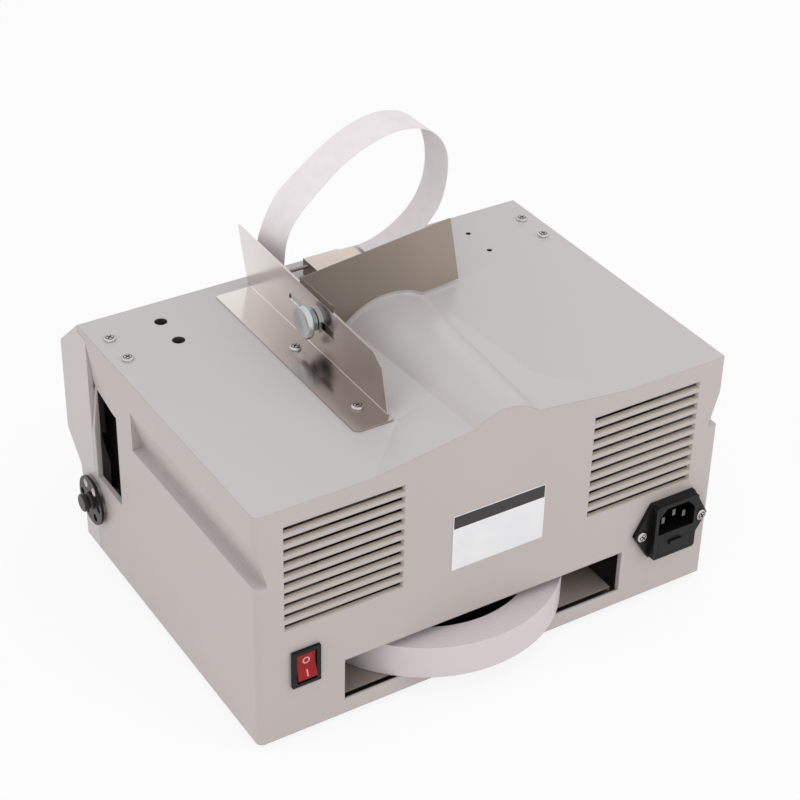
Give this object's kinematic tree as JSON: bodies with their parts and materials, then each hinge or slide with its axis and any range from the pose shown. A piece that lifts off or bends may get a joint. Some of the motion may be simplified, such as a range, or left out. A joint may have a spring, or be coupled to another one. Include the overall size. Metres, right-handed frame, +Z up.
{
  "type": "banknote strapping machine",
  "caption": "Desktop machine that straps a stack of banknotes with a loop of paper tape: low moulded housing, guide bracket and stop on the deck, tape roll at the rear.",
  "frame": {"origin": "on the table top under the middle of the housing's width and depth", "axes": "+Z up, +Y towards the rear wall with the switch, inlet and tape roll, +X towards the side with the hand wheel"},
  "size_m": [0.2891, 0.2396, 0.2314],
  "materials": {
    "housing_grey": "fine moulded texture, slightly warm light grey",
    "key_grey": "smooth moulded",
    "lens_smoke": "polished smoked lens",
    "circuit_board": "green solder resist on laminate",
    "plain_steel": "zinc-plated sheet",
    "feet_rubber": "matt moulded rubber",
    "screw_steel": "bright nickel-plated",
    "label_film": "printed film, dark band over a bare white field",
    "black_plastic": "moulded black thermoplastic",
    "rocker_red": "glossy translucent red",
    "brass_contact": "nickelled brass",
    "fuse_glass": "glass tube with metal caps",
    "stainless": "polished stainless sheet, brownish reflections",
    "zinc_blue": "blue zinc plate, turned",
    "head_beige": "pale moulded plastic",
    "white_paper": "smooth white kraft strapping paper",
    "hub_grey": "moulded",
    "dark_disc": "black oxide",
    "gear_nylon": "natural nylon",
    "motor_steel": "drawn steel can",
    "heater_alloy": "milled",
    "roller_rubber": "ground rubber",
    "core_steel": "varnished lamination stack"
  },
  "bodies": {
    "housing": {"top_shell": "housing_grey", "front_bezel": "housing_grey", "display_window": "lens_smoke", "key_board": "circuit_board", "base_plate": "plain_steel", "rubber_feet": "feet_rubber", "base_screws": "screw_steel", "deck_screws": "screw_steel", "rating_label": "label_film", "switch_frame": "black_plastic", "inlet_body": "black_plastic", "inlet_pins": "brass_contact", "inlet_screws": "screw_steel", "guide_bracket": "stainless", "bracket_screws": "screw_steel", "head_cover": "head_beige", "head_tongue": "zinc_blue", "guide_rod": "plain_steel", "paper_band": "white_paper", "tape_tray": "hub_grey", "drive_motor": "motor_steel", "side_plate_left": "plain_steel", "side_plate_right": "plain_steel", "head_plate": "plain_steel", "tie_rods": "plain_steel", "shaft_bushes": "brass_contact", "press_guide": "gear_nylon", "press_spring": "plain_steel", "feed_frame": "plain_steel", "feed_motor": "motor_steel", "tape_chute": "plain_steel", "transformer": "core_steel", "control_board": "circuit_board"},
    "rocker": {"switch_rocker": "rocker_red"},
    "fuse_tray": {"fuse_drawer": "black_plastic", "fuse": "fuse_glass"},
    "stop": {"stop_plate": "stainless", "clamp_nut": "zinc_blue", "thumb_washer": "zinc_blue"},
    "thumb": {"thumb_screw": "zinc_blue"},
    "tape_reel": {"paper_roll": "white_paper", "roll_hub": "hub_grey"},
    "main_drive": {"hand_wheel_disc": "dark_disc", "hand_wheel_knob": "dark_disc", "main_shaft": "plain_steel", "drive_gear": "gear_nylon", "press_cam": "plain_steel"},
    "motor_spindle": {"motor_pinion": "brass_contact", "motor_shaft": "plain_steel"},
    "press": {"press_slide": "plain_steel", "heater_plate": "heater_alloy", "cutter_blade": "plain_steel"},
    "feed": {"feed_shaft": "plain_steel", "feed_roller": "roller_rubber"},
    "pinch_arm": {"pinch_lever": "plain_steel"},
    "pinch_wheel": {"pinch_roller": "roller_rubber"},
    "key_1": {"panel_key_1": "key_grey"},
    "key_2": {"panel_key_2": "key_grey"},
    "key_3": {"panel_key_3": "key_grey"},
    "key_4": {"panel_key_4": "key_grey"}
  },
  "joints": [
    {"name": "switch_rock", "type": "hinge", "parent": "housing", "child": "rocker", "pos_m": [0.1132, 0.108, 0.0466], "axis": [1, 0, 0], "range_deg": [-18, 0]},
    {"name": "fuse_drawer_slide", "type": "slide", "parent": "housing", "child": "fuse_tray", "axis": [0, 1, 0], "range_m": [0, 0.016]},
    {"name": "stop_slide", "type": "slide", "parent": "housing", "child": "stop", "axis": [0, 1, 0], "range_m": [-0.025, 0.017]},
    {"name": "thumb_screw_turn", "type": "hinge", "parent": "stop", "child": "thumb", "pos_m": [0.045, -0.003, 0.165], "axis": [1, 0, 0], "range_deg": [0, 360]},
    {"name": "tape_roll_spin", "type": "hinge", "parent": "housing", "child": "tape_reel", "pos_m": [0.008, 0.052, 0.02], "axis": [0, 0, 1], "continuous": true},
    {"name": "hand_wheel_spin", "type": "hinge", "parent": "housing", "child": "main_drive", "pos_m": [0, -0.0775, 0.038], "axis": [1, 0, 0], "continuous": true},
    {"name": "motor_spin", "type": "hinge", "parent": "housing", "child": "motor_spindle", "pos_m": [-0.03, -0.061, 0.038], "axis": [1, 0, 0], "continuous": true},
    {"name": "press_stroke", "type": "slide", "parent": "housing", "child": "press", "axis": [0, 0, 1], "range_m": [0, 0.004], "stiffness_N_per_m": 1500, "springref_m": -0.001, "deforming": ["press_spring"]},
    {"name": "feed_roller_spin", "type": "hinge", "parent": "housing", "child": "feed", "pos_m": [0.072, -0.069, 0.092], "axis": [0, 1, 0], "continuous": true},
    {"name": "pinch_lever_swing", "type": "hinge", "parent": "housing", "child": "pinch_arm", "pos_m": [0.09, -0.069, 0.122], "axis": [0, 1, 0], "range_deg": [0, 8], "stiffness_Nm_per_rad": 0.4, "springref_deg": -5.73},
    {"name": "pinch_roller_spin", "type": "hinge", "parent": "pinch_arm", "child": "pinch_wheel", "pos_m": [0.072, -0.069, 0.1084], "axis": [0, 1, 0], "continuous": true},
    {"name": "key_1_press", "type": "slide", "parent": "housing", "child": "key_1", "axis": [0, 0.6675, -0.7446], "range_m": [0, 0.001], "stiffness_N_per_m": 400, "springref_m": -0.001},
    {"name": "key_2_press", "type": "slide", "parent": "housing", "child": "key_2", "axis": [0, 0.6675, -0.7446], "range_m": [0, 0.001], "stiffness_N_per_m": 400, "springref_m": -0.001},
    {"name": "key_3_press", "type": "slide", "parent": "housing", "child": "key_3", "axis": [0, 0.6675, -0.7446], "range_m": [0, 0.001], "stiffness_N_per_m": 400, "springref_m": -0.001},
    {"name": "key_4_press", "type": "slide", "parent": "housing", "child": "key_4", "axis": [0, 0.6675, -0.7446], "range_m": [0, 0.001], "stiffness_N_per_m": 400, "springref_m": -0.001}
  ],
  "couplings": [
    {"joint": "motor_spin", "follows": "hand_wheel_spin", "ratio": -2},
    {"joint": "pinch_roller_spin", "follows": "feed_roller_spin", "ratio": -1.2857}
  ]
}
